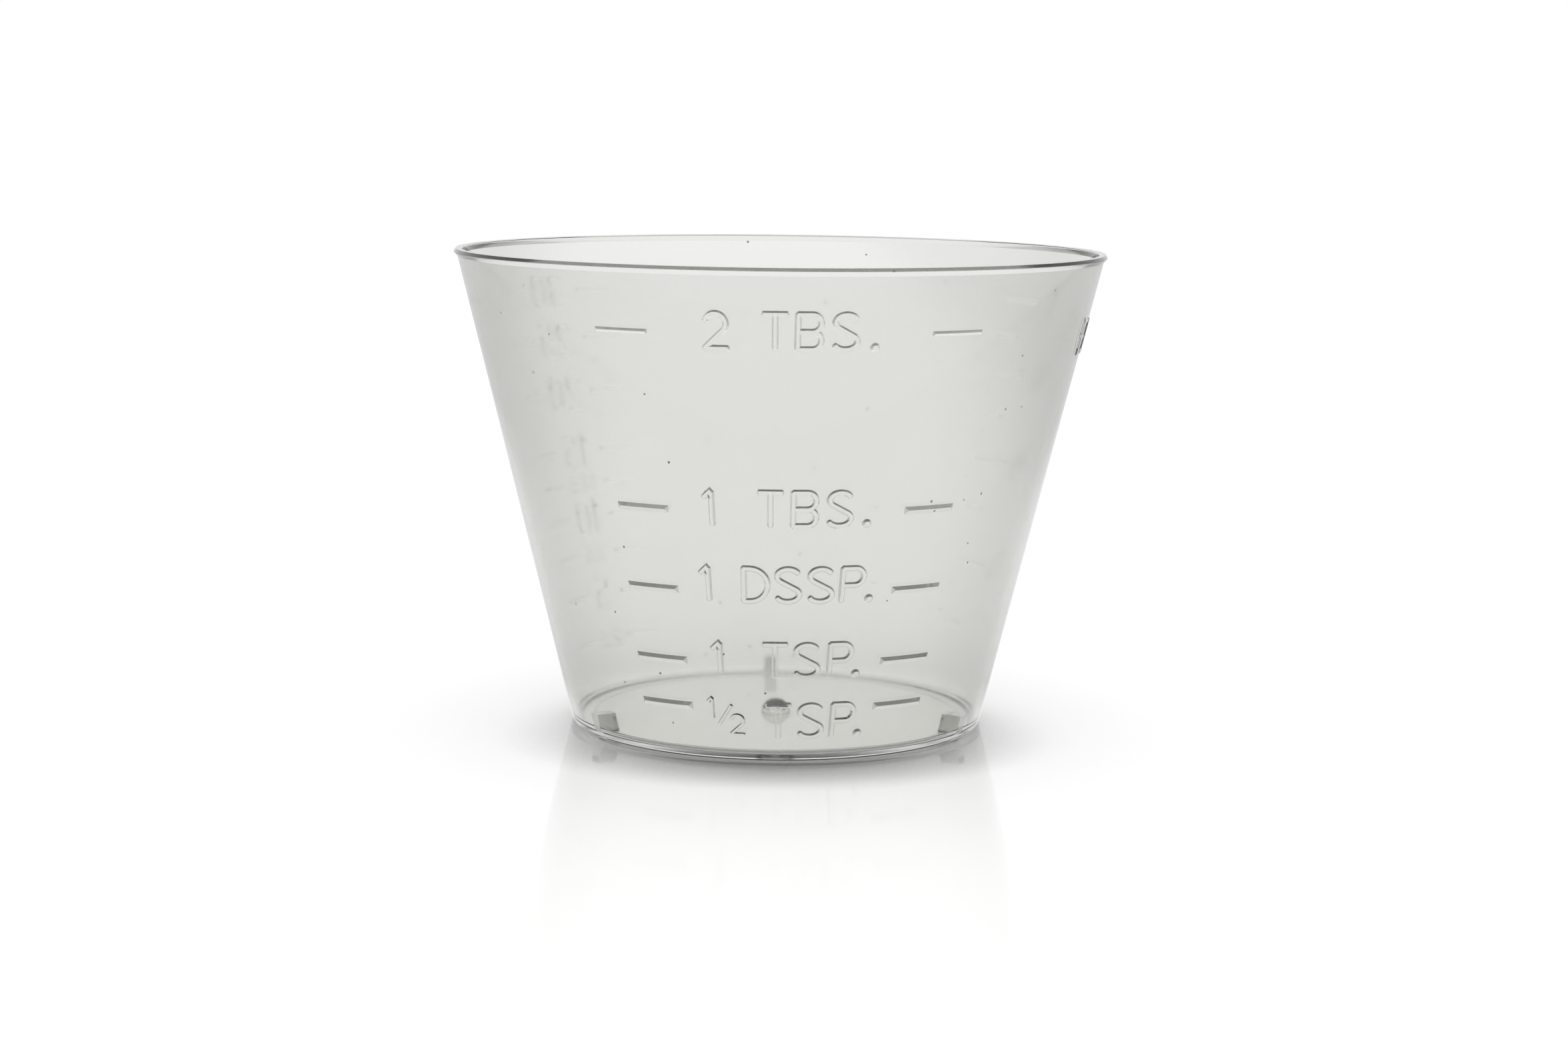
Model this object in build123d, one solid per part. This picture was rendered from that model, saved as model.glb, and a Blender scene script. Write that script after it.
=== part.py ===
from build123d import *
from math import atan, cos, degrees, pi
import os

# A graduated medicine cup: one thin injection moulding in natural polypropylene.
# Millimetres. The cup stands on z = 0 with its axis on Z. The spoon scale faces -Y, and
# directions round the cup are in degrees from there, growing towards +X.

# The cup's body
HEIGHT = 33.7
BASE_DIAMETER = 29.3  # outside, where the straight wall meets the table
MOUTH_DIAMETER = 45.8  # outside of the straight wall at the top, without the bead
WALL = 0.45  # square to the wall
FLOOR = 0.42  # the floor's upper face above the table

# The bead that stiffens the mouth
BEAD_PROUD = 0.20  # how far its edge stands out from the wall
BEAD_EDGE_DROP = 0.24  # from the top of the cup down to that edge
BEAD_UNDERCUT = 0.30  # from the edge down to where the slope meets the wall
BEAD_EDGE_ROUND = 0.07
LIP_ROUND = 0.12  # inner corner of the top land

# The base
BASE_ROUND = 0.30  # outer corner that the cup stands on
CORNER_ROUND = 0.70  # inner corner between floor and wall
FOOT_WIDTH = 1.20  # ring that touches the table
FOOT_HEIGHT = 0.08  # the panel inside the ring is lifted by this

# The gate at the centre of the floor, where the plastic came in
PIP_DIAMETER = 2.1
PIP_HEIGHT = 0.95  # above the floor, inside the cup
DIMPLE_DIAMETER = 2.0
DIMPLE_DEPTH = 0.45  # above the lifted panel, under the cup
NUB_DIAMETER = 0.9
NUB_LENGTH = 0.35  # broken stub of the gate, hanging in the dimple

# Radial stacking ribs in the inner corner, which keep nested cups from jamming
RIB_COUNT = 3
RIB_FIRST = 60.0  # direction of the first rib
RIB_REACH = 1.30  # from the wall towards the axis
RIB_THICKNESS = 0.90
RIB_TOP = 1.75  # above the table

# Raised graduation bars on the outer wall, roof-shaped in section
BAR_PROUD = 0.16
BAR_HEIGHT = 0.55
FINE_BAR_PROUD = 0.12
FINE_BAR_HEIGHT = 0.34

# Volumes in millilitres
FLUID_OUNCE = 29.574
FLUID_DRAM = FLUID_OUNCE / 8
TABLESPOON = FLUID_OUNCE / 2
TEASPOON = FLUID_OUNCE / 6
DESSERTSPOON = 2.5 * FLUID_DRAM

# Spoon scale on the front: the same bar on the left and right of each label
SPOON_DIRECTION = 0.0
SPOON_SPREAD = 30.0  # from the middle of the scale to the middle of a bar
SPOON_LENGTH = 3.9
SPOON_VOLUMES = (TEASPOON / 2, TEASPOON, DESSERTSPOON, TABLESPOON)
SPOON_TOP_VOLUME = 2 * TABLESPOON  # its bars are finer

# Millilitre scale on the back left: two columns of bars with room for numbers between
METRIC_DIRECTION = -127.2
METRIC_SPREAD = 12.7
METRIC_LENGTH = 3.1
METRIC_VOLUMES = (2.5, 5.0, 7.5, 10.0, 12.5, 15.0, 20.0, 25.0, 30.0)

# Fluid ounce scale on the back right: one column of eighths, every second bar longer
OUNCE_COLUMN_END = 125.4  # direction where all of its bars end
OUNCE_SHORT = 2.3
OUNCE_LONG = 4.4
OUNCE_PARTS = 8

# Worked out from the sizes above
BASE_RADIUS = BASE_DIAMETER / 2
MOUTH_RADIUS = MOUTH_DIAMETER / 2
SLOPE = (MOUTH_RADIUS - BASE_RADIUS) / HEIGHT  # radius gained for each millimetre up
WALL_ACROSS = WALL / cos(atan(SLOPE))  # the wall measured level
BEAD_EDGE_Z = HEIGHT - BEAD_EDGE_DROP
BEAD_ROOT_Z = BEAD_EDGE_Z - BEAD_UNDERCUT
BURIED = WALL_ACROSS / 2  # how deep bars and ribs run into the wall they grow from


def outer_radius(z):
    """Outside of the straight wall at height z."""
    return BASE_RADIUS + SLOPE * z


def inner_radius(z):
    """Inside of the wall at height z."""
    return outer_radius(z) - WALL_ACROSS


def fill_level(millilitres):
    """Height above the table that this much liquid reaches in the tapered cup."""
    floor_radius = inner_radius(FLOOR)
    cubic_mm = 1000 * millilitres
    if abs(SLOPE) < 1e-6:
        return FLOOR + cubic_mm / (pi * floor_radius**2)
    surface_radius = (3 * SLOPE * cubic_mm / pi + floor_radius**3) ** (1 / 3)
    return FLOOR + (surface_radius - floor_radius) / SLOPE


def flat_face(*points):
    """A closed outline of (x, z) points as a face in the XZ plane."""
    return make_face(Polyline(*[(x, 0, z) for x, z in points], close=True))


def rounded(face, corner, radius):
    """The same face with the corner at that (x, z) point rounded."""
    point = Vector(corner[0], 0, corner[1])
    return fillet(face.vertices().sort_by_distance(point)[0], radius)


def facing(direction, part):
    """Turns a part made on +X to a direction round the cup."""
    return Rot(0, 0, direction - 90) * part


def cup_body():
    """Wall, floor, foot and bead, turned from one section."""
    foot_inner = BASE_RADIUS - BASE_ROUND - FOOT_WIDTH
    base_corner = (BASE_RADIUS, 0)
    bead_edge = (outer_radius(BEAD_EDGE_Z) + BEAD_PROUD, BEAD_EDGE_Z)
    lip = (inner_radius(HEIGHT), HEIGHT)
    floor_corner = (inner_radius(FLOOR), FLOOR)
    section = flat_face(
        (0, FOOT_HEIGHT),
        (foot_inner - FOOT_HEIGHT, FOOT_HEIGHT),
        (foot_inner, 0),
        base_corner,
        (outer_radius(BEAD_ROOT_Z), BEAD_ROOT_Z),
        bead_edge,
        (outer_radius(HEIGHT), HEIGHT),
        lip,
        floor_corner,
        (0, FLOOR),
    )
    section = rounded(section, base_corner, BASE_ROUND)
    section = rounded(section, bead_edge, BEAD_EDGE_ROUND)
    section = rounded(section, lip, LIP_ROUND)
    section = rounded(section, floor_corner, CORNER_ROUND)
    return revolve(section, Axis.Z)


def dome(width, height):
    """A shallow spherical cap on z = 0."""
    ball_radius = (width**2 / 4 + height**2) / (2 * height)
    ball = Pos(0, 0, height - ball_radius) * Sphere(ball_radius)
    above = (Align.CENTER, Align.CENTER, Align.MIN)
    return ball & Cylinder(width, height, align=above)


def with_gate(body):
    """Adds the pip inside, and under it the dimple with the stub of the gate."""
    hanging = (Align.CENTER, Align.CENTER, Align.MAX)
    dimple_top = FOOT_HEIGHT + DIMPLE_DEPTH
    body += Pos(0, 0, FLOOR) * dome(PIP_DIAMETER, PIP_HEIGHT)
    body -= Pos(0, 0, FOOT_HEIGHT) * dome(DIMPLE_DIAMETER, DIMPLE_DEPTH)
    return body + Pos(0, 0, dimple_top) * Cylinder(NUB_DIAMETER / 2, NUB_LENGTH, align=hanging)


def stacking_ribs():
    """Upright plates that reach from the wall towards the axis, evenly spaced."""
    low = (FOOT_HEIGHT + FLOOR) / 2
    side = flat_face(
        (inner_radius(low) + BURIED, low),
        (inner_radius(RIB_TOP) + BURIED, RIB_TOP),
        (inner_radius(RIB_TOP) - RIB_REACH, RIB_TOP),
        (inner_radius(low) - RIB_REACH, low),
    )
    rib = extrude(side, RIB_THICKNESS / 2, dir=(0, 1, 0), both=True)
    return [facing(RIB_FIRST + i * 360 / RIB_COUNT, rib) for i in range(RIB_COUNT)]


def bar(millilitres, direction, length, height=BAR_HEIGHT, proud=BAR_PROUD):
    """A raised bar round the wall whose upper edge stands at the level of a volume."""
    top = fill_level(millilitres)
    bottom = top - height
    ridge = top - height / 2
    section = flat_face(
        (outer_radius(bottom) - BURIED, bottom),
        (outer_radius(bottom), bottom),
        (outer_radius(ridge) + proud, ridge),
        (outer_radius(top), top),
        (outer_radius(top) - BURIED, top),
    )
    arc = degrees(length / outer_radius(top))
    return facing(direction - arc / 2, revolve(section, Axis.Z, arc))


def markable(volumes):
    """The volumes whose level lies on the straight wall, under the bead."""
    return [volume for volume in volumes if fill_level(volume) < BEAD_ROOT_Z]


def spoon_bars():
    bars = []
    for side in (SPOON_DIRECTION - SPOON_SPREAD, SPOON_DIRECTION + SPOON_SPREAD):
        for volume in markable(SPOON_VOLUMES):
            bars.append(bar(volume, side, SPOON_LENGTH))
        for volume in markable([SPOON_TOP_VOLUME]):
            bars.append(bar(volume, side, SPOON_LENGTH, FINE_BAR_HEIGHT, FINE_BAR_PROUD))
    return bars


def metric_bars():
    bars = []
    for side in (METRIC_DIRECTION - METRIC_SPREAD, METRIC_DIRECTION + METRIC_SPREAD):
        for volume in markable(METRIC_VOLUMES):
            bars.append(bar(volume, side, METRIC_LENGTH, FINE_BAR_HEIGHT, FINE_BAR_PROUD))
    return bars


def ounce_bars():
    bars = []
    parts = [FLUID_OUNCE * n / OUNCE_PARTS for n in range(1, OUNCE_PARTS + 1)]
    for place, volume in enumerate(markable(parts)):
        length = OUNCE_LONG if place % 2 else OUNCE_SHORT
        half_arc = degrees(length / 2 / outer_radius(fill_level(volume)))
        middle = OUNCE_COLUMN_END - half_arc
        bars.append(bar(volume, middle, length, FINE_BAR_HEIGHT, FINE_BAR_PROUD))
    return bars


cup = with_gate(cup_body()) + stacking_ribs()
cup += spoon_bars() + metric_bars() + ounce_bars()

print("half taper", round(degrees(atan(SLOPE)), 2), "degrees")
for volume in (*SPOON_VOLUMES, SPOON_TOP_VOLUME):
    print(round(volume, 2), "ml reaches", round(fill_level(volume), 2), "mm")

os.makedirs("parts", exist_ok=True)
export_step(cup, "parts/cup.step")
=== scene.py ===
from math import atan, atan2, ceil, cos, hypot, pi, radians, sin, tan

import bmesh
import bpy
from mathutils import Matrix, Vector

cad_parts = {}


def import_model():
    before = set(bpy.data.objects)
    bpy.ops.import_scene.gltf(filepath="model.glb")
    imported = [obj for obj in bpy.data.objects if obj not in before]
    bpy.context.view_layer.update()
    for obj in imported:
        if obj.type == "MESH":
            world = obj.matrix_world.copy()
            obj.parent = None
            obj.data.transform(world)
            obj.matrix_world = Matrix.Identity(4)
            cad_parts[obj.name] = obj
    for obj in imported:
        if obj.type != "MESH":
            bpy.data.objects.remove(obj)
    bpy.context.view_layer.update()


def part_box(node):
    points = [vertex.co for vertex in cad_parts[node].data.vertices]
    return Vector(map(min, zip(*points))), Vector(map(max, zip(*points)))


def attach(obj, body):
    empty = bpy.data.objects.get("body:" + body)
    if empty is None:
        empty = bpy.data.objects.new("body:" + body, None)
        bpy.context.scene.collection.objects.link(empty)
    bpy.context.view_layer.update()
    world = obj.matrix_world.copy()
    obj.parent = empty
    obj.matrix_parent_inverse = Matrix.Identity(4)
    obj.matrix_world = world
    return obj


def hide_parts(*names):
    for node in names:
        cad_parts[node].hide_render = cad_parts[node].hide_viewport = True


# A graduated medicine cup, one injection moulding in natural polypropylene.
# The moulding is modelled in millimetres and scaled to metres when it becomes an object.
# Directions round the cup are in degrees from -Y, where the spoon scale is, towards +X.

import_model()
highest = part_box("cup")[1]

MM = 0.001

# The cup's body
HEIGHT = highest[2] / MM
BASE_DIAMETER = 29.3
MOUTH_DIAMETER = 45.8
WALL = 0.45
FLOOR = 0.42

# The bead at the mouth
BEAD_PROUD = 0.20
BEAD_EDGE_DROP = 0.24
BEAD_UNDERCUT = 0.30
BEAD_EDGE_ROUND = 0.07
LIP_ROUND = 0.12

# The base
BASE_ROUND = 0.30
CORNER_ROUND = 0.70
FOOT_WIDTH = 1.20
FOOT_HEIGHT = 0.08

# The gate at the centre of the floor
PIP_DIAMETER = 2.1
PIP_HEIGHT = 0.95
DIMPLE_DIAMETER = 2.0
DIMPLE_DEPTH = 0.45
NUB_DIAMETER = 0.9
NUB_LENGTH = 0.35

# The stacking ribs in the inner corner
RIB_COUNT = 3
RIB_FIRST = 60.0
RIB_REACH = 1.30
RIB_THICKNESS = 0.90
RIB_TOP = 1.75

# Raised bars and lettering
BURIED = 0.22  # how deep a mark runs into the wall
BAR_WIDTH = 0.55
BAR_CREST = 0.04
BAR_PROUD = 0.16
FINE_BAR_WIDTH = 0.34
FINE_BAR_CREST = 0.03
FINE_BAR_PROUD = 0.12
STROKE_WIDTH = 0.43
STROKE_CREST = 0.20
STROKE_PROUD = 0.16
BACK_PROUD = 0.08  # of the fainter letters and figures of the two other scales
SMALL_STROKE = 0.27  # in the small figures
DOT_DIAMETER = 0.63
CAP_HEIGHT = 2.70  # over the outer edges of the strokes
SMALL_SIZE = 0.60  # of the figures in a fraction, against the full ones
SMALLER_SIZE = 0.50  # of the figures beside the half steps of the millilitre scale
SIGN_GAP = 0.36  # between two signs
STROKE_STEP = 0.30  # longest piece of a stroke, so that it follows the round wall

# Volumes in millilitres
FLUID_OUNCE = 29.574
FLUID_DRAM = FLUID_OUNCE / 8
TABLESPOON = FLUID_OUNCE / 2
TEASPOON = FLUID_OUNCE / 6
DESSERTSPOON = 2.5 * FLUID_DRAM

# The three scales
SPOON_SPREAD = 30.0
SPOON_LENGTH = 3.9
METRIC_DIRECTION = -127.2
METRIC_SPREAD = 12.7
METRIC_LENGTH = 3.1
OUNCE_COLUMN_END = 125.4
OUNCE_SHORT = 2.3
OUNCE_LONG = 4.4
OUNCE_PARTS = 8
OUNCE_FIGURES_END = 109.5  # direction where the figures beside the longer bars end
UNIT_START = 72.0  # direction where the name of the unit starts
UNIT_LOW = 26.8  # height of its lowest edge

# The spoon scale's labels: height of the lowest edge, then each sign with its left edge in
# millimetres round the wall from the direction where the labels are centred
LABEL_DIRECTION = -1.9
SPOON_LABELS = [
    (28.25, [("2", -5.02), ("T", -1.23), ("B", 0.92), ("S", 3.19), (".", 5.84)]),
    (16.45, [("1", -4.98), ("T", -1.41), ("B", 0.77), ("S", 3.02), (".", 5.57)]),
    (11.22, [("1", -5.18), ("D", -2.38), ("S", -0.30), ("S", 1.84), ("P", 4.04), (".", 5.85)]),
    (5.92, [("1", -4.38), ("T", -1.02), ("S", 0.99), ("P", 3.30), (".", 5.04)]),
    (1.59, [("T", -0.76), ("S", 1.28), ("P", 3.53), (".", 5.27)]),
]
HALF_SPOON_LEFT = -4.57
OUNCE_FRACTION_LEFT = -2.6
FRACTION_PLACES = ((0, 1.34), (0.71, 0.88), (1.47, 0.20))  # upper figure, stroke, lower figure
METRIC_LABELS = [
    (2.5, "2.5"),
    (5.0, "5"),
    (7.5, "7.5"),
    (10.0, "10"),
    (12.5, "12.5"),
    (15.0, "15"),
    (20.0, "20"),
    (25.0, "25"),
    (30.0, "30"),
]
OUNCE_LABELS = [(2, "14"), (4, "12"), (6, "34"), (8, "1")]

# The camera, fitted to the outline of the cup in the photograph
PHOTO_WIDTH = 2352
FOCAL_PIXELS = 4315.9
SENSOR = 36.0
CAMERA_DISTANCE = 204.31
CAMERA_HEIGHT = 44.24
CAMERA_DIRECTION = -1.9
CAMERA_PITCH = 8.379
CAMERA_YAW = 0.124
CAMERA_ROLL = 0.649

# The mesh
TURNS = 360  # faces round the cup
WALL_ROWS = range(2, 33, 2)  # heights where the outside of the wall is divided
STROKE_ENDS = (80, 55, 28)  # degrees from a stroke's sides to the points that round its ends
SHORTEST_EDGE = 1e-3  # shorter ones are taken out after the union
LEVEL_ENOUGH = 1e-3  # difference in height over a face that counts as level
CREASE = 24  # degrees between two faces that meet in a crisp edge

# Telling marks from the wall, in millimetres out from it
MARK_FOOT = 0.008  # a face nearer than this belongs to the wall
MARK_CREST = 0.005  # a face this near to a letter's full height is its crest
FRONT_HALF = 60  # degrees to each side of -Y that hold the spoon scale

# Painted shade on raised edges, the top of the rim and the stacking ribs, tuned for the low angle of the
# photograph
RIM_SHADE = 1.6  # over 1, because a face seen aslant loses up to 1 of it
RIB_SHADE = 0.8
BACK_SHADE = 0.2  # of the two back scales, against 1 for the spoon scale
BACK_SOFTNESS = 2.0  # how far the normals of the back scales lean towards the wall's
UNSHADED_SLOPE = -0.75  # upward part of the normal where a mark gets none of the tint
SHADED_SLOPE = 0.55  # and where it gets all of it
BEHIND_SHARE = 0.6  # of the painted shade that is left off where light leaves the plastic

# The plastic's look
CLEAR_SHARE = 0.955  # of the light that isn't scattered where it enters
CLOUD_SIZE = 5.0  # millimetres
CLOUD_RANGE = 0.015  # how far the clear share wavers
SATIN_SIZE = 0.8  # millimetres, coarser than a moulded surface's own grain, too fine to show
ROUGHNESS = (0.05, 0.08)
SPECK_SPACING = 2.4  # millimetres
SPECK_RADIUS = 0.09  # millimetres
SPECK_TINT = "#4A4A46"
PLASTIC_TINT = "#EEEEEC"
# painted shade where the plastic is seen aslant, a little of it from the longer path through the wall
ASLANT_SHADE_TINT = "#D8D9D4"
# painted shade for the upper slopes of raised marks, the top of the rim and the stacking ribs
SLOPE_SHADE_TINT = "#686862"
PLASTIC_IOR = 1.49
NOISE_SPAN = (0.3, 0.7)  # the part of a noise's values that is spread over its range

# The sheet that the cup stands on, lengths in millimetres
AIR_GAP = 0.03  # keeps the sheet's face apart from the foot ring's
SHEET_HALF = 3.0  # metres
SHEET_TONE = "#FFFFFF"
SHEET_IOR = 1.50
SHEET_ROUGHNESS = 0.08
# Painted contact shadow: a darker tone near the cup, found by ambient occlusion
CONTACT_SHADOW_TONE = "#4A4A4A"
CONTACT_REACH = 9.0
CONTACT_LEAN = (0.94, 0.34)  # back and up: the painted shadow gathers on the side of the viewer
FLOOR_LIFT = 0.09  # glow for the camera
UNDER_LIFT = 0.6  # glow through the cup's floor at a low angle, for light lost in the plastic
UNDER_REACH = 9.0
# Painted shade on the sheet to the left and right, for gloss and the view through the cup
LIT_HALF = 40.0
DIM_FROM = 75.0
SIDE_SHADE_TONE = "#D8D8D8"

# Light
SOFT_LIGHT = 1.0
BACKDROP = [(0.0, 0.80), (0.80, 0.80), (0.97, 1.0)]  # from in front of the cup to behind it
CEILING = [(0.0, 0.0), (0.5, 1.0)]  # from level to upwards
OVERHEAD_LIGHT = 0.10
OVERHEAD_WIDTH = 70  # degrees
OVERHEAD_LEAN = -8  # degrees

# Worked out from the sizes above
BASE_RADIUS = BASE_DIAMETER / 2
SLOPE = (MOUTH_DIAMETER / 2 - BASE_RADIUS) / HEIGHT
TAPER = atan(SLOPE)
WALL_ACROSS = WALL / cos(TAPER)
BEAD_EDGE_Z = HEIGHT - BEAD_EDGE_DROP
BEAD_ROOT_Z = BEAD_EDGE_Z - BEAD_UNDERCUT


def outer_radius(z):
    """Outside of the straight wall at height z."""
    return BASE_RADIUS + SLOPE * z


def inner_radius(z):
    """Inside of the wall at height z."""
    return outer_radius(z) - WALL_ACROSS


def fill_level(millilitres):
    """Height above the table that this much liquid reaches in the tapered cup."""
    floor_radius = inner_radius(FLOOR)
    surface_radius = (3000 * SLOPE * millilitres / pi + floor_radius**3) ** (1 / 3)
    return FLOOR + (surface_radius - floor_radius) / SLOPE


# Mesh helpers


def arc(centre, reach, start, end, step=12):
    """Points on a round or oval arc, between two angles in degrees."""
    count = max(2, ceil(abs(end - start) / step))
    angles = [radians(start + (end - start) * i / count) for i in range(count + 1)]
    wide, tall = reach if isinstance(reach, tuple) else (reach, reach)
    return [(centre[0] + wide * cos(a), centre[1] + tall * sin(a)) for a in angles]


def rounded(before, corner, after, radius, steps=5):
    """The corner between two straight lines as points on an arc."""
    corner, before, after = Vector(corner), Vector(before), Vector(after)
    back = (before - corner).normalized()
    on = (after - corner).normalized()
    half = back.angle(on) / 2
    centre = corner + (back + on).normalized() * radius / sin(half)
    start = corner + back * radius / tan(half) - centre
    turn = start.angle_signed(corner + on * radius / tan(half) - centre)
    points = []
    for i in range(steps + 1):
        spoke = start.copy()
        spoke.rotate(Matrix.Rotation(-turn * i / steps, 2))
        points.append(tuple(centre + spoke))
    return points


def turned(points):
    """A solid turned about Z from a section of (x, z) points that starts and ends on the axis."""
    bm = bmesh.new()
    verts = [bm.verts.new((x, 0, z)) for x, z in points]
    edges = [bm.edges.new(pair) for pair in zip(verts, verts[1:])]
    bmesh.ops.spin(
        bm, geom=verts + edges, cent=(0, 0, 0), axis=(0, 0, 1), angle=2 * pi, steps=TURNS, use_merge=True
    )
    bmesh.ops.remove_doubles(bm, verts=bm.verts, dist=1e-4)
    face_outwards(bm)
    return bm


def face_outwards(bm):
    """Points every face of a closed skin outwards."""
    bm.normal_update()
    bmesh.ops.recalc_face_normals(bm, faces=bm.faces)


def new_object(name, bm, scale=1.0):
    """Turns a bmesh into an object at the origin."""
    bmesh.ops.scale(bm, vec=(scale, scale, scale), verts=bm.verts)
    mesh = bpy.data.meshes.new(name)
    bm.to_mesh(mesh)
    bm.free()
    piece = bpy.data.objects.new(name, mesh)
    bpy.context.scene.collection.objects.link(piece)
    return piece


# The moulding's body


def dome(width, rise, low, outwards):
    """Points over a shallow dome on the axis, from the axis out or back to it."""
    ball = (width**2 / 4 + rise**2) / (2 * rise)
    side = 90 - atan2(width / 2, ball - rise) * 180 / pi
    points = arc((0, low + rise - ball), ball, 90, side, step=4)
    return points if outwards else points[::-1]


def body_section():
    """The wall, floor, foot, bead and gate as one outline in x and z."""
    foot_inner = BASE_RADIUS - BASE_ROUND - FOOT_WIDTH
    foot = (foot_inner, 0)
    base_corner = (BASE_RADIUS, 0)
    bead_root = (outer_radius(BEAD_ROOT_Z), BEAD_ROOT_Z)
    bead_edge = (outer_radius(BEAD_EDGE_Z) + BEAD_PROUD, BEAD_EDGE_Z)
    top = (outer_radius(HEIGHT), HEIGHT)
    lip = (inner_radius(HEIGHT), HEIGHT)
    floor_corner = (inner_radius(FLOOR), FLOOR)
    nub_radius = NUB_DIAMETER / 2
    nub_low = FOOT_HEIGHT + DIMPLE_DEPTH - NUB_LENGTH
    dimple = dome(DIMPLE_DIAMETER, DIMPLE_DEPTH, FOOT_HEIGHT, outwards=True)
    dimple = [(x, z) for x, z in dimple if x > nub_radius]
    return [
        (0, nub_low),
        (nub_radius, nub_low),
        (nub_radius, dimple[0][1]),
        *dimple,
        (foot_inner - FOOT_HEIGHT, FOOT_HEIGHT),
        foot,
        *rounded(foot, base_corner, bead_root, BASE_ROUND),
        *[(outer_radius(z), z) for z in WALL_ROWS],
        bead_root,
        *rounded(bead_root, bead_edge, top, BEAD_EDGE_ROUND),
        top,
        *rounded(top, lip, floor_corner, LIP_ROUND),
        *rounded(lip, floor_corner, (0, FLOOR), CORNER_ROUND, steps=8),
        *dome(PIP_DIAMETER, PIP_HEIGHT, FLOOR, outwards=False),
    ]


def stacking_rib(direction):
    """An upright plate in the corner between floor and wall."""
    low = (FOOT_HEIGHT + FLOOR) / 2
    bm = bmesh.new()
    side = [
        (inner_radius(low) + BURIED, low),
        (inner_radius(RIB_TOP) + BURIED, RIB_TOP),
        (inner_radius(RIB_TOP) - RIB_REACH, RIB_TOP),
        (inner_radius(low) - RIB_REACH, low),
    ]
    face = bm.faces.new([bm.verts.new((x, -RIB_THICKNESS / 2, z)) for x, z in side])
    out = bmesh.ops.extrude_face_region(bm, geom=[face])
    moved = [v for v in out["geom"] if isinstance(v, bmesh.types.BMVert)]
    bmesh.ops.translate(bm, vec=(0, RIB_THICKNESS, 0), verts=moved)
    face_outwards(bm)
    turn = Matrix.Rotation(radians(direction - 90), 3, "Z")
    bmesh.ops.rotate(bm, cent=(0, 0, 0), matrix=turn, verts=bm.verts)
    return new_object("rib", bm)


# Raised marks on the wall


def fine_steps(points):
    """The same line with its long stretches divided."""
    fine = [points[0]]
    for (x0, y0), (x1, y1) in zip(points, points[1:]):
        count = ceil(hypot(x1 - x0, y1 - y0) / STROKE_STEP - 1e-6)
        fine += [(x0 + (x1 - x0) * i / count, y0 + (y1 - y0) * i / count) for i in range(1, count + 1)]
    return fine


def ribbon(bm, points, width, roundness):
    """A flat band of faces along a line, with rounded ends."""
    spots = [Vector(p) for p in fine_steps(points)]
    ways = [(b - a).normalized() for a, b in zip(spots, spots[1:])]
    stations = []
    for i, spot in enumerate(spots):
        way = (ways[max(i - 1, 0)] + ways[min(i, len(ways) - 1)]).normalized()
        mitre = 1 / max(0.5, way.dot(ways[min(i, len(ways) - 1)]))
        stations.append((spot, way, mitre))
    first, last = stations[0], stations[-1]
    caps = [radians(a) for a in STROKE_ENDS]
    start = [(first[0] - first[1] * sin(a) * roundness * width / 2, first[1], cos(a)) for a in caps]
    end = [(last[0] + last[1] * sin(a) * roundness * width / 2, last[1], cos(a)) for a in caps[::-1]]
    edge = None
    for spot, way, scale in start + stations + end:
        across = Vector((-way.y, way.x)) * scale * width / 2
        places = [(*(spot + across), 0), (*(spot - across), 0)]
        if edge is None:
            edge = bm.edges.new([bm.verts.new(p) for p in places])
            left, right = edge.verts
            continue
        out = bmesh.ops.extrude_edge_only(bm, edges=[edge])
        edge = next(g for g in out["geom"] if isinstance(g, bmesh.types.BMEdge))
        old_left = left
        left, right = edge.verts
        if not any(e.other_vert(left) is old_left for e in left.link_edges):
            left, right = right, left
        left.co, right.co = places


def ridge(points, width, crest, proud, direction, z, roundness=0.75):
    """A raised stroke: a flat band given a foot inside the wall and a narrower crest outside."""
    bm = bmesh.new()
    ribbon(bm, points, width, roundness)
    foot = bmesh.ops.extrude_face_region(bm, geom=bm.faces[:], use_keep_orig=True)
    moved = [v for v in foot["geom"] if isinstance(v, bmesh.types.BMVert)]
    bmesh.ops.translate(bm, vec=(0, 0, -BURIED), verts=moved)
    face_outwards(bm)
    top = [f for f in bm.faces if f.normal.z > 0.9]
    bmesh.ops.inset_region(
        bm, faces=top, thickness=(width - crest) / 2, depth=proud, use_even_offset=True, use_boundary=True
    )
    bmesh.ops.triangulate(bm, faces=bm.faces)
    wrap(bm, direction, z)
    face_outwards(bm)
    return new_object("mark", bm)


def wrap(bm, direction, z):
    """Lays flat work on the outer wall: x runs round the cup, y up and z out from the wall."""
    reach = outer_radius(z)
    for v in bm.verts:
        height = z + v.co.y
        radius = outer_radius(height) + v.co.z / cos(TAPER)
        angle = radians(direction) + v.co.x / reach
        v.co = (radius * sin(angle), -radius * cos(angle), height)


# Letters and figures as the middle lines of their strokes, in millimetres at full height

TOP = CAP_HEIGHT - STROKE_WIDTH
MIDDLE = TOP / 2
BOWL = TOP / 4

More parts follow.
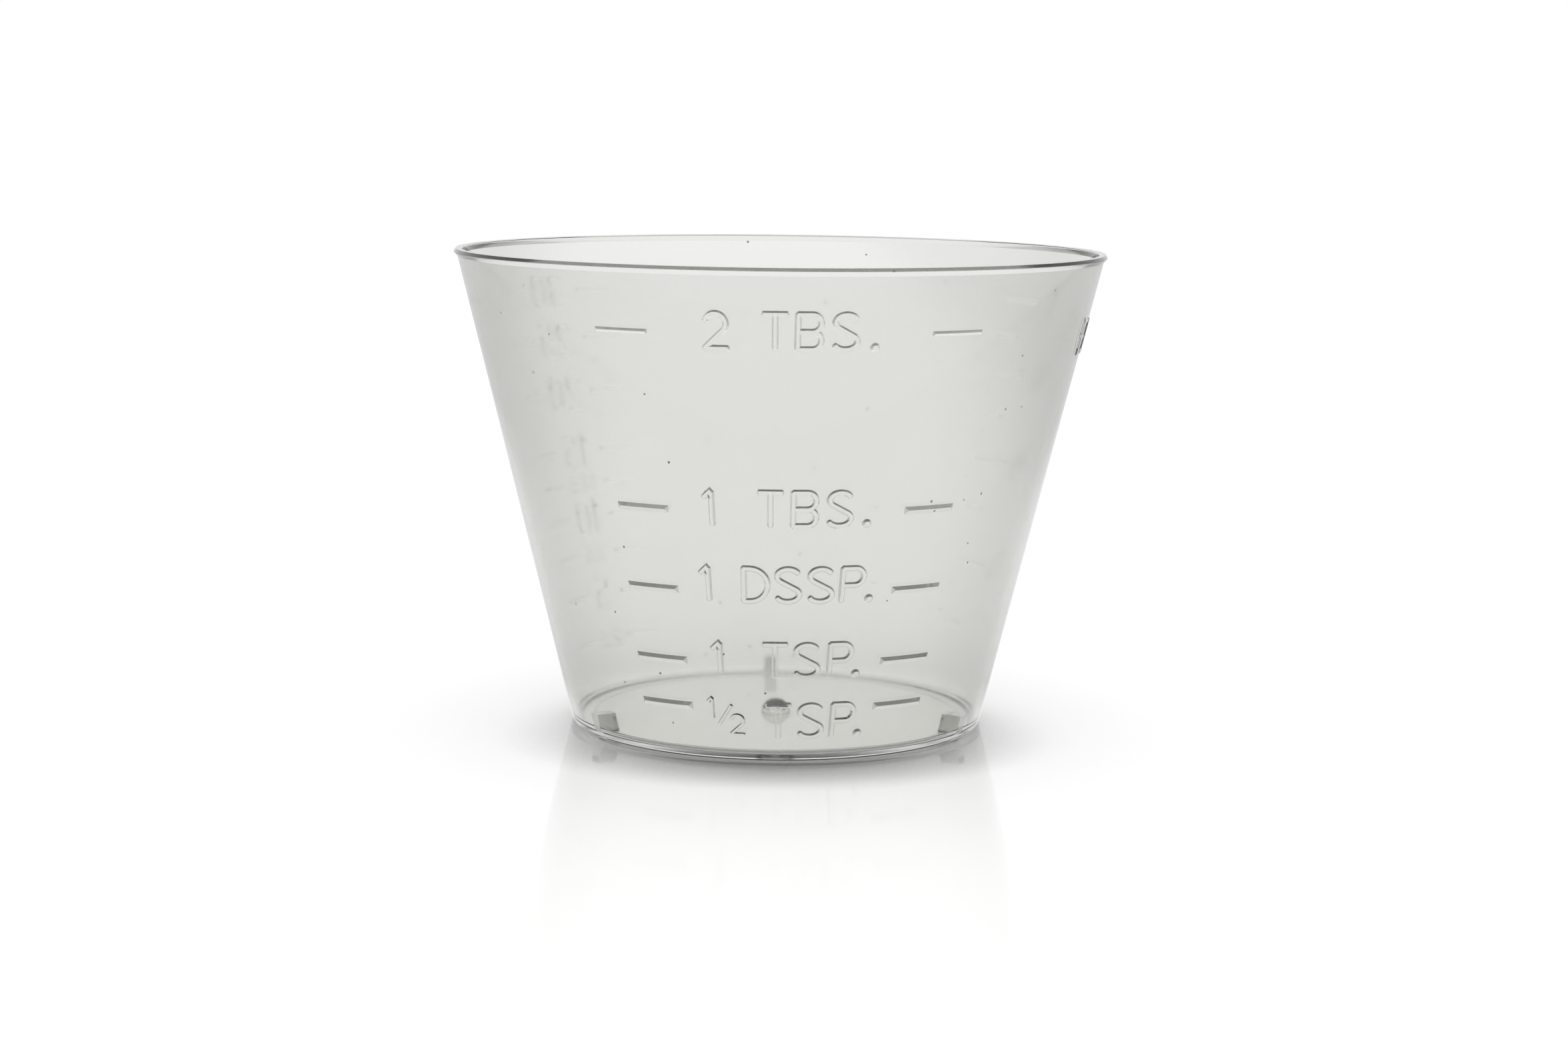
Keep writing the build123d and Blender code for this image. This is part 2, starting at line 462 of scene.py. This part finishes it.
LETTERS = {
    "1": (0.48, [[(0, TOP - 0.42), (0.40, TOP - 0.03), (0.48, TOP - 0.12), (0.48, 0)]]),
    "2": (
        1.47,
        [arc((0.74, TOP - 0.66), 0.66, 165, -42) + [(0.0, 0)], [(0.0, 0), (1.47, 0)]],
    ),
    "3": (
        1.25,
        [
            arc((0.60, TOP - 0.54), (0.60, 0.54), 150, -90),
            arc((0.60, 0.595), (0.65, 0.595), 90, -150),
        ],
    ),
    "4": (1.40, [[(1.0, 0), (1.0, TOP)], [(1.0, TOP), (0, 0.62)], [(0, 0.62), (1.4, 0.62)]]),
    "5": (
        1.30,
        [
            [(1.2, TOP), (0.12, TOP)],
            [(0.12, TOP), (0.03, MIDDLE)],
            arc((0.60, 0.70), (0.68, 0.70), 140, -145),
        ],
    ),
    "7": (1.30, [[(0, TOP), (1.3, TOP)], [(1.3, TOP), (0.45, 0)]]),
    "0": (
        1.35,
        [
            arc((0.675, TOP - 0.675), 0.675, 0, 180)
            + arc((0.675, 0.675), 0.675, 180, 360)
            + [(1.35, TOP - 0.675)],
        ],
    ),
    "B": (
        1.49,
        [
            [(0, 0), (0, TOP)],
            [(0, TOP), (0.89, TOP)] + arc((0.89, TOP - BOWL), BOWL, 90, -90) + [(0, MIDDLE)],
            [(0, MIDDLE)] + arc((0.92, BOWL), BOWL, 90, -90) + [(0, 0)],
        ],
    ),
    "D": (
        1.55,
        [
            [(0, 0), (0, TOP)],
            [(0, TOP)] + arc((1.55 - MIDDLE, MIDDLE), MIDDLE, 90, -90) + [(0, 0)],
        ],
    ),
    "F": (1.25, [[(0, 0), (0, TOP)], [(0, TOP), (1.25, TOP)], [(0, MIDDLE), (1.0, MIDDLE)]]),
    "L": (1.20, [[(0, TOP), (0, 0)], [(0, 0), (1.2, 0)]]),
    "O": (
        1.55,
        [
            arc((0.775, TOP - 0.775), 0.775, 0, 180)
            + arc((0.775, 0.775), 0.775, 180, 360)
            + [(1.55, TOP - 0.775)],
        ],
    ),
    "P": (
        1.41,
        [
            [(0, 0), (0, TOP)],
            [(0, TOP), (0.82, TOP)] + arc((0.82, TOP - 0.59), 0.59, 90, -90) + [(0, TOP - 1.18)],
        ],
    ),
    "S": (
        1.54,
        [
            arc((0.77, TOP - 0.50), (0.70, 0.50), 28, 222) + arc((0.77, 0.50), (0.77, 0.50), 42, -150),
        ],
    ),
    "T": (1.43, [[(0, TOP), (1.43, TOP)], [(0.715, TOP), (0.715, 0)]]),
    "Z": (1.45, [[(0, TOP), (1.45, TOP)], [(1.45, TOP), (0, 0)], [(0, 0), (1.45, 0)]]),
    "/": (1.38, [[(0, 0), (1.38, TOP)]]),
}


def letter(sign, x, y, direction, z, size=1.0, stroke=STROKE_WIDTH, proud=STROKE_PROUD):
    """One letter or figure whose left edge and lowest edge are at x and y on the wall."""
    if sign == ".":
        radius = DOT_DIAMETER * size / 2
        points = [(x + radius - 0.02, y + radius), (x + radius + 0.02, y + radius)]
        return [ridge(points, 2 * radius, radius, proud, direction, z, roundness=1.0)]
    crest = STROKE_CREST * stroke / STROKE_WIDTH
    marks = []
    for line in LETTERS[sign][1]:
        points = [(x + stroke / 2 + px * size, y + stroke / 2 + py * size) for px, py in line]
        marks.append(ridge(points, stroke, crest, proud, direction, z))
    return marks


def breadth(sign, size, stroke):
    """How wide a sign is over the edges of its strokes."""
    return DOT_DIAMETER * size if sign == "." else LETTERS[sign][0] * size + stroke


def row_length(signs, size, stroke):
    """How long a row of signs is."""
    return sum(breadth(s, size, stroke) for s in signs) + SIGN_GAP * size * (len(signs) - 1)


def row(signs, x, direction, z, size=1.0, stroke=STROKE_WIDTH):
    """A row of signs from x to the right. A blank leaves room."""
    marks = []
    for sign in signs:
        if sign == " ":
            x += SIGN_GAP * size
            continue
        marks += letter(sign, x, 0, direction, z, size, stroke, BACK_PROUD)
        x += breadth(sign, size, stroke) + SIGN_GAP * size
    return marks


def fraction(upper, lower, x, direction, z, proud=STROKE_PROUD):
    """Two small figures that step down to the right, with a stroke between them."""
    marks = []
    for sign, (right, up) in zip((upper, "/", lower), FRACTION_PLACES):
        marks += letter(sign, x + right, up, direction, z, SMALL_SIZE, SMALL_STROKE, proud)
    return marks


# The three scales


def bar(direction, z, length, width=FINE_BAR_WIDTH, crest=FINE_BAR_CREST, proud=FINE_BAR_PROUD):
    """A raised bar round the wall whose upper edge stands at height z."""
    half = length / 2
    points = [(-half, -width / 2), (half, -width / 2)]
    return ridge(points, width, crest, proud, direction, z, roundness=0.0)


def spoon_scale():
    """A bar on the left and right of each spoon measure, with its name between them."""
    marks = []
    for side in (-SPOON_SPREAD, SPOON_SPREAD):
        marks.append(bar(side, fill_level(2 * TABLESPOON), SPOON_LENGTH))
        for volume in (TEASPOON / 2, TEASPOON, DESSERTSPOON, TABLESPOON):
            marks.append(bar(side, fill_level(volume), SPOON_LENGTH, BAR_WIDTH, BAR_CREST, BAR_PROUD))
    for low, signs in SPOON_LABELS:
        for sign, x in signs:
            marks += letter(sign, x, 0, LABEL_DIRECTION, low)
    return marks + fraction("1", "2", HALF_SPOON_LEFT, LABEL_DIRECTION, SPOON_LABELS[-1][0])


def metric_scale():
    """Two columns of bars with the millilitres between them, smaller at the half steps."""
    marks = []
    for volume, signs in METRIC_LABELS:
        level = fill_level(volume)
        for side in (METRIC_DIRECTION - METRIC_SPREAD, METRIC_DIRECTION + METRIC_SPREAD):
            marks.append(bar(side, level, METRIC_LENGTH))
        size, stroke = (SMALLER_SIZE, SMALL_STROKE) if "." in signs else (1.0, STROKE_WIDTH)
        low = level - (FINE_BAR_WIDTH + TOP * size + stroke) / 2
        marks += row(signs, -row_length(signs, size, stroke) / 2, METRIC_DIRECTION, low, size, stroke)
    return marks


def ounce_scale():
    """A column of bars for the eighths of a fluid ounce, with figures at the quarters."""
    marks = []
    for part in range(1, OUNCE_PARTS + 1):
        level = fill_level(FLUID_OUNCE * part / OUNCE_PARTS)
        length = OUNCE_SHORT if part % 2 else OUNCE_LONG
        middle = OUNCE_COLUMN_END - length / 2 / outer_radius(level) * 180 / pi
        marks.append(bar(middle, level, length))
    for part, signs in OUNCE_LABELS:
        low = fill_level(FLUID_OUNCE * part / OUNCE_PARTS) - (CAP_HEIGHT + FINE_BAR_WIDTH) / 2
        if len(signs) == 1:
            marks += row(signs, -breadth(signs, 1.0, STROKE_WIDTH), OUNCE_FIGURES_END, low)
        else:
            left = OUNCE_FRACTION_LEFT
            marks += fraction(signs[0], signs[1], left, OUNCE_FIGURES_END, low, BACK_PROUD)
    return marks + row("FL. OZ.", 0, UNIT_START, UNIT_LOW)


def joined_moulding(body, marks):
    """The body and every raised mark as one closed skin."""
    group = bpy.data.collections.new("marks")
    bpy.context.scene.collection.children.link(group)
    for mark in marks:
        bpy.context.scene.collection.objects.unlink(mark)
        group.objects.link(mark)
    union = body.modifiers.new("marks", "BOOLEAN")
    union.operation = "UNION"
    union.operand_type = "COLLECTION"
    union.collection = group
    union.solver = "MANIFOLD"
    graph = bpy.context.evaluated_depsgraph_get()
    mesh = bpy.data.meshes.new_from_object(body.evaluated_get(graph))
    for mark in marks:
        bpy.data.objects.remove(mark)
    bpy.data.collections.remove(group)
    bpy.data.objects.remove(body)
    bm = bmesh.new()
    bm.from_mesh(mesh)
    bpy.data.meshes.remove(mesh)
    return bm


def finish_mesh(bm):
    """A closed skin of triangles without the union's shortest edges, smooth but for crisp edges
    where the surface breaks. Two faces folded onto each other enclose nothing and are taken out."""
    bmesh.ops.triangulate(bm, faces=bm.faces, quad_method="BEAUTY", ngon_method="BEAUTY")
    bmesh.ops.dissolve_degenerate(bm, edges=bm.edges, dist=SHORTEST_EDGE)
    bmesh.ops.triangulate(bm, faces=bm.faces, quad_method="BEAUTY", ngon_method="BEAUTY")
    corners = {}
    for face in bm.faces:
        corners.setdefault(frozenset(face.verts), []).append(face)
    folded = [face for faces in corners.values() if len(faces) > 1 for face in faces]
    bmesh.ops.delete(bm, geom=folded, context="FACES")
    for face in bm.faces:
        face.smooth = True
    for edge in bm.edges:
        edge.smooth = edge.calc_face_angle(0) < radians(CREASE)


def square_to_wall(place):
    """The direction that is square to the wall, outwards, at a point beside it."""
    radius = hypot(place.x, place.y)
    return Vector((place.x / radius * cos(TAPER), place.y / radius * cos(TAPER), -sin(TAPER)))


def in_front(place):
    """Whether a point is on the side of the spoon scale."""
    return abs(atan2(place.x, -place.y)) < radians(FRONT_HALF)


def wall_normal(place):
    """The normal of the straight wall's outside or inside at a point on it, else nothing."""
    radius = hypot(place.x, place.y)
    way = square_to_wall(place)
    if abs(radius - outer_radius(place.z)) < 0.01:
        return way
    if abs(radius - inner_radius(place.z)) < 0.01:
        return -way
    return None


def softened(place, normal):
    """The normal of a mark on the back: its own one, leaned towards the wall's."""
    return (normal + square_to_wall(place) * BACK_SOFTNESS).normalized()


def even_wall(piece):
    """Gives the wall the exact normals of its cone, so that no long face beside a mark shows, and
    level faces upright ones, so that the cup's floor looks flat. The marks of the two back scales
    get softer edges than the spoon scale's. A normal of no length leaves the mesh its own."""
    mesh = piece.data
    normals = [Vector((0, 0, 0))] * len(mesh.loops)
    for face in mesh.polygons:
        centre = face.center / MM
        heights = [mesh.vertices[i].co.z / MM for i in face.vertices]
        if max(heights) - min(heights) < LEVEL_ENOUGH:
            for i in face.loop_indices:
                normals[i] = Vector((0, 0, 1 if face.normal.z > 0 else -1))
            continue
        if hypot(centre.x, centre.y) < BASE_RADIUS - 1:
            continue
        proud = hypot(centre.x, centre.y) - outer_radius(centre.z)
        if centre.z < BEAD_ROOT_Z and proud > MARK_FOOT and not in_front(centre):
            for i in face.loop_indices:
                normals[i] = softened(centre, face.normal)
            continue
        found = [wall_normal(mesh.vertices[i].co / MM) for i in face.vertices]
        if all(n is not None and n.dot(face.normal) > 0.98 for n in found):
            for i, normal in zip(face.loop_indices, found):
                normals[i] = normal
    mesh.normals_split_custom_set(normals)


def slope_shade(mesh, face):
    """Each face's share of painted shade, which stands in for the dark seen through raised edges:
    1 on a mark's upper slopes, less on its sides, nothing on its lower slopes. The top of the rim
    and the stacking ribs have a share of their own."""
    centre = face.center / MM
    radius = hypot(centre.x, centre.y)
    proud = radius - outer_radius(centre.z)
    if centre.z > BEAD_ROOT_Z:
        corners = [mesh.vertices[i].co / MM for i in face.vertices]
        reach = max(hypot(corner.x, corner.y) - outer_radius(corner.z) for corner in corners)
        return RIM_SHADE if face.normal.z > 0.3 and reach > -0.01 else 0.0
    if MARK_FOOT < proud < STROKE_PROUD - MARK_CREST:
        strength = 1.0 if in_front(centre) else BACK_SHADE
        upward = (face.normal.z - UNSHADED_SLOPE) / (SHADED_SLOPE - UNSHADED_SLOPE)
        return strength * min(1.0, max(0.0, upward))
    turn = atan2(centre.x, -centre.y) * 180 / pi - RIB_FIRST
    beside = abs((turn + 180 / RIB_COUNT) % (360 / RIB_COUNT) - 180 / RIB_COUNT)
    deep = inner_radius(centre.z) - radius
    if 0.02 < deep < RIB_REACH + 0.1 and beside < 2.3 and centre.z > FLOOR + 0.02:
        return RIB_SHADE
    return 0.0


def shade_slopes(piece):
    """Keeps each face's share of painted shade in the piece's own attribute."""
    mesh = piece.data
    shade = mesh.attributes.new("slope_shade", "FLOAT", "FACE")
    for face in mesh.polygons:
        shade.data[face.index].value = slope_shade(mesh, face)


body = new_object("body", turned(body_section()))
ribs = [stacking_rib(RIB_FIRST + i * 360 / RIB_COUNT) for i in range(RIB_COUNT)]
moulding = joined_moulding(body, ribs + spoon_scale() + metric_scale() + ounce_scale())
finish_mesh(moulding)
cup = new_object("medicine_cup", moulding, scale=MM)
even_wall(cup)
shade_slopes(cup)

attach(cup, "root")
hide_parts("cup")


# Materials


def linear(code):
    """An sRGB hex colour as linear RGBA."""
    parts = [int(code[i : i + 2], 16) / 255 for i in (1, 3, 5)]
    return [p / 12.92 if p <= 0.04045 else ((p + 0.055) / 1.055) ** 2.4 for p in parts] + [1.0]


def add(tree, kind, links=None, **settings):
    """Adds a node. Settings name its properties and inputs, and links feed its inputs. The two
    colours of a colour mix are its inputs 6 and 7."""
    node = tree.nodes.new(kind)
    for name, value in settings.items():
        if hasattr(node, name):
            setattr(node, name, value)
        else:
            node.inputs[name.replace("_", " ")].default_value = value
    for name, source in (links or {}).items():
        tree.links.new(source, node.inputs[name])
    return node


def ramp(tree, source, stops):
    """Grey levels along a value, as (place, level) stops."""
    node = add(tree, "ShaderNodeValToRGB", links={0: source})
    node.color_ramp.interpolation = "EASE"
    for i, (place, level) in enumerate(stops):
        stop = node.color_ramp.elements[i] if i < 2 else node.color_ramp.elements.new(place)
        stop.position = place
        stop.color = (level, level, level, 1)
    return node.outputs[0]


def polypropylene():
    """Natural polypropylene, injection moulded. To the eye it is nearly clear and faintly cloudy,
    with a soft gloss that wavers a little and a few dark specks. Where it is seen aslant it is
    greyer: mostly painted shade, a little of it from the longer path through the wall. Painted shade
    also makes its raised edges stand out as grey lines."""
    material = bpy.data.materials.new("natural_polypropylene")
    material.use_nodes = True
    tree = material.node_tree
    shader = tree.nodes["Principled BSDF"]
    place = add(tree, "ShaderNodeTexCoord")
    # Painted shade: the plastic turns greyer where it is seen aslant
    sight = add(tree, "ShaderNodeLayerWeight", Blend=0.5)
    aslant = ramp(tree, sight.outputs["Facing"], [(0.15, 0.0), (0.75, 1.0)])
    tint = add(tree, "ShaderNodeMix", data_type="RGBA", links={0: aslant})
    tint.inputs[6].default_value = linear(PLASTIC_TINT)
    tint.inputs[7].default_value = linear(ASLANT_SHADE_TINT)
    side = add(tree, "ShaderNodeNewGeometry")
    # Painted shade on raised edges: each face's share from slope_shade, less where light leaves the
    # plastic and where the face is seen aslant
    slopes = add(tree, "ShaderNodeAttribute", attribute_name="slope_shade")
    weak = add(tree, "ShaderNodeMath", operation="MULTIPLY", links={0: side.outputs["Backfacing"]})
    weak.inputs[1].default_value = BEHIND_SHARE
    strength = add(tree, "ShaderNodeMath", operation="SUBTRACT", links={1: weak.outputs[0]})
    strength.inputs[0].default_value = 1.0
    strong = add(
        tree,
        "ShaderNodeMath",
        operation="MULTIPLY",
        links={0: slopes.outputs["Fac"], 1: strength.outputs[0]},
    )
    outside = add(
        tree,
        "ShaderNodeMath",
        operation="SUBTRACT",
        use_clamp=True,
        links={0: strong.outputs[0], 1: aslant},
    )
    shaded = add(
        tree, "ShaderNodeMix", data_type="RGBA", links={0: outside.outputs[0], 6: tint.outputs[2]}
    )
    shaded.inputs[7].default_value = linear(SLOPE_SHADE_TINT)
    dust = add(
        tree,
        "ShaderNodeTexVoronoi",
        Scale=1 / (SPECK_SPACING * MM),
        links={"Vector": place.outputs["Object"]},
    )
    speck = add(tree, "ShaderNodeMath", operation="LESS_THAN", links={0: dust.outputs["Distance"]})
    speck.inputs[1].default_value = SPECK_RADIUS / SPECK_SPACING
    speckled = add(
        tree, "ShaderNodeMix", data_type="RGBA", links={0: speck.outputs[0], 6: shaded.outputs[2]}
    )
    speckled.inputs[7].default_value = linear(SPECK_TINT)
    tree.links.new(speckled.outputs[2], shader.inputs["Base Color"])
    cloud = add(
        tree,
        "ShaderNodeTexNoise",
        Scale=1 / (CLOUD_SIZE * MM),
        Detail=3.0,
        links={"Vector": place.outputs["Object"]},
    )
    haze = add(
        tree,
        "ShaderNodeMapRange",
        From_Min=NOISE_SPAN[0],
        From_Max=NOISE_SPAN[1],
        To_Min=CLEAR_SHARE - CLOUD_RANGE,
        To_Max=CLEAR_SHARE + CLOUD_RANGE,
        links={"Value": cloud.outputs["Fac"]},
    )
    satin = add(
        tree,
        "ShaderNodeTexNoise",
        Scale=1 / (SATIN_SIZE * MM),
        Detail=2.0,
        links={"Vector": place.outputs["Object"]},
    )
    gloss = add(
        tree,
        "ShaderNodeMapRange",
        From_Min=NOISE_SPAN[0],
        From_Max=NOISE_SPAN[1],
        To_Min=ROUGHNESS[0],
        To_Max=ROUGHNESS[1],
        links={"Value": satin.outputs["Fac"]},
    )
    tree.links.new(gloss.outputs[0], shader.inputs["Roughness"])
    shader.inputs["IOR"].default_value = PLASTIC_IOR
    clear = add(
        tree,
        "ShaderNodeMath",
        operation="MAXIMUM",
        links={0: side.outputs["Backfacing"], 1: haze.outputs[0]},
    )
    tree.links.new(clear.outputs[0], shader.inputs["Transmission Weight"])
    return material


cup.data.materials.append(polypropylene())


# Floor, light and camera


def floor_material():
    """Glossy white acrylic that mirrors the cup softly, with a painted contact shadow where the cup
    stands on it, which only the camera sees. Gloss and the view through the cup meet it with painted
    shade to the left and right, lighter along the middle. It glows a little for the camera, and more
    through the cup's floor."""
    material = bpy.data.materials.new("white_acrylic_sheet")
    material.use_nodes = True
    tree = material.node_tree
    shader = tree.nodes["Principled BSDF"]
    shader.inputs["Roughness"].default_value = SHEET_ROUGHNESS
    shader.inputs["IOR"].default_value = SHEET_IOR
    rays = add(tree, "ShaderNodeLightPath")
    # Painted contact shadow, for the camera only, where ambient occlusion finds the cup close
    under = add(tree, "ShaderNodeMix", data_type="RGBA", links={0: rays.outputs["Is Camera Ray"]})
    under.inputs[6].default_value = linear(SHEET_TONE)
    under.inputs[7].default_value = linear(CONTACT_SHADOW_TONE)
    from_behind = add(tree, "ShaderNodeCombineXYZ", Y=CONTACT_LEAN[0], Z=CONTACT_LEAN[1])
    near = add(
        tree,
        "ShaderNodeAmbientOcclusion",
        samples=16,
        Distance=CONTACT_REACH * MM,
        links={"Normal": from_behind.outputs[0]},
    )
    free = ramp(tree, near.outputs["AO"], [(0.30, 0.0), (0.90, 1.0)])
    beneath = add(tree, "ShaderNodeAmbientOcclusion", samples=8, Distance=UNDER_REACH * MM)
    open_air = ramp(tree, beneath.outputs["AO"], [(0.10, 0.0), (0.90, 1.0)])
    sight = add(tree, "ShaderNodeLayerWeight", Blend=0.5)
    grazing = ramp(tree, sight.outputs["Facing"], [(0.30, 0.0), (0.75, 1.0)])
    tone = add(tree, "ShaderNodeMix", data_type="RGBA", links={0: free, 6: under.outputs[2]})
    tone.inputs[7].default_value = linear(SHEET_TONE)
    through = add(
        tree,
        "ShaderNodeMath",
        operation="MAXIMUM",
        links={0: rays.outputs["Is Glossy Ray"], 1: rays.outputs["Is Transmission Ray"]},
    )
    # Painted shade: the sheet is darker to the left and right for gloss and the view through the cup
    place = add(tree, "ShaderNodeTexCoord")
    axes = add(tree, "ShaderNodeSeparateXYZ", links={0: place.outputs["Object"]})
    aside = add(tree, "ShaderNodeMath", operation="ABSOLUTE", links={0: axes.outputs["X"]})
    edge = add(
        tree,
        "ShaderNodeMapRange",
        interpolation_type="SMOOTHSTEP",
        From_Min=LIT_HALF * MM,
        From_Max=DIM_FROM * MM,
        links={0: aside.outputs[0]},
    )
    share = add(
        tree,
        "ShaderNodeMath",
        operation="MULTIPLY",
        links={0: edge.outputs[0], 1: through.outputs[0]},
    )
    seen = add(
        tree, "ShaderNodeMix", data_type="RGBA", links={0: share.outputs[0], 6: tone.outputs[2]}
    )
    seen.inputs[7].default_value = linear(SIDE_SHADE_TONE)
    tree.links.new(seen.outputs[2], shader.inputs["Base Color"])
    shader.inputs["Emission Color"].default_value = (1, 1, 1, 1)
    close = add(
        tree,
        "ShaderNodeMath",
        operation="SUBTRACT",
        use_clamp=True,
        links={0: through.outputs[0], 1: open_air},
    )
    low = add(tree, "ShaderNodeMath", operation="MULTIPLY", links={0: close.outputs[0], 1: grazing})
    glow = add(tree, "ShaderNodeMath", operation="MULTIPLY", links={0: low.outputs[0]})
    glow.inputs[1].default_value = UNDER_LIFT
    lift = add(
        tree,
        "ShaderNodeMath",
        operation="MULTIPLY_ADD",
        links={0: rays.outputs["Is Camera Ray"], 2: glow.outputs[0]},
    )
    lift.inputs[1].default_value = FLOOR_LIFT
    tree.links.new(lift.outputs[0], shader.inputs["Emission Strength"])
    return material


def floor():
    bm = bmesh.new()
    bmesh.ops.create_grid(bm, x_segments=1, y_segments=1, size=SHEET_HALF)
    bmesh.ops.translate(bm, vec=(0, 0, -AIR_GAP * MM), verts=bm.verts)
    sheet = new_object("floor", bm)
    sheet.data.materials.append(floor_material())


def world():
    """Even soft light. The camera sees white. Gloss and the view through the cup meet a backdrop
    that is white straight behind the cup and greyer elsewhere, under a white ceiling."""
    sky = bpy.data.worlds.new("studio")
    sky.use_nodes = True
    tree = sky.node_tree
    soft = tree.nodes["Background"]
    soft.inputs["Color"].default_value = (1, 1, 1, 1)
    soft.inputs["Strength"].default_value = SOFT_LIGHT
    way = add(tree, "ShaderNodeTexCoord")
    axes = add(tree, "ShaderNodeSeparateXYZ", links={0: way.outputs["Generated"]})
    behind = add(tree, "ShaderNodeMath", operation="MULTIPLY_ADD", links={0: axes.outputs["Y"]})
    behind.inputs[1].default_value = 0.5
    behind.inputs[2].default_value = 0.5
    backdrop = ramp(tree, behind.outputs[0], BACKDROP)
    ceiling = ramp(tree, axes.outputs["Z"], CEILING)
    studio = add(tree, "ShaderNodeMath", operation="MAXIMUM", links={0: backdrop, 1: ceiling})
    rays = add(tree, "ShaderNodeLightPath")
    tone = add(
        tree,
        "ShaderNodeMath",
        operation="MAXIMUM",
        links={0: studio.outputs[0], 1: rays.outputs["Is Camera Ray"]},
    )
    shown = add(tree, "ShaderNodeBackground", Strength=1.0, links={"Color": tone.outputs[0]})
    gloss = add(
        tree,
        "ShaderNodeMath",
        operation="MAXIMUM",
        links={0: rays.outputs["Is Glossy Ray"], 1: rays.outputs["Is Transmission Ray"]},
    )
    sight = add(
        tree,
        "ShaderNodeMath",
        operation="MAXIMUM",
        links={0: rays.outputs["Is Camera Ray"], 1: gloss.outputs[0]},
    )
    out = add(
        tree,
        "ShaderNodeMixShader",
        links={0: sight.outputs[0], 1: soft.outputs[0], 2: shown.outputs[0]},
    )
    tree.links.new(out.outputs[0], tree.nodes["World Output"].inputs["Surface"])
    bpy.context.scene.world = sky


def overhead():
    """A wide soft light above the cup. It is left out of gloss and of the view through the cup."""
    data = bpy.data.lights.new("overhead", "SUN")
    data.energy = OVERHEAD_LIGHT
    data.angle = radians(OVERHEAD_WIDTH)
    lamp = bpy.data.objects.new("overhead", data)
    bpy.context.scene.collection.objects.link(lamp)
    lamp.rotation_euler = (radians(OVERHEAD_LEAN), 0, 0)
    lamp.visible_glossy = False
    lamp.visible_transmission = False


def camera():
    data = bpy.data.cameras.new("camera")
    data.sensor_width = SENSOR
    data.lens = SENSOR * FOCAL_PIXELS / PHOTO_WIDTH
    data.clip_start = 0.01
    eye = bpy.data.objects.new("camera", data)
    bpy.context.scene.collection.objects.link(eye)
    way = radians(CAMERA_DIRECTION)
    place = Matrix.Translation(
        Vector((CAMERA_DISTANCE * sin(way), -CAMERA_DISTANCE * cos(way), CAMERA_HEIGHT)) * MM
    )
    turn = Matrix.Rotation(way - radians(CAMERA_YAW), 4, "Z")
    tilt = Matrix.Rotation(radians(90 - CAMERA_PITCH), 4, "X")
    roll = Matrix.Rotation(radians(CAMERA_ROLL), 4, "Z")
    eye.matrix_world = place @ turn @ tilt @ roll
    bpy.context.scene.camera = eye


floor()
world()
overhead()
camera()
bpy.context.scene.view_settings.view_transform = "Standard"
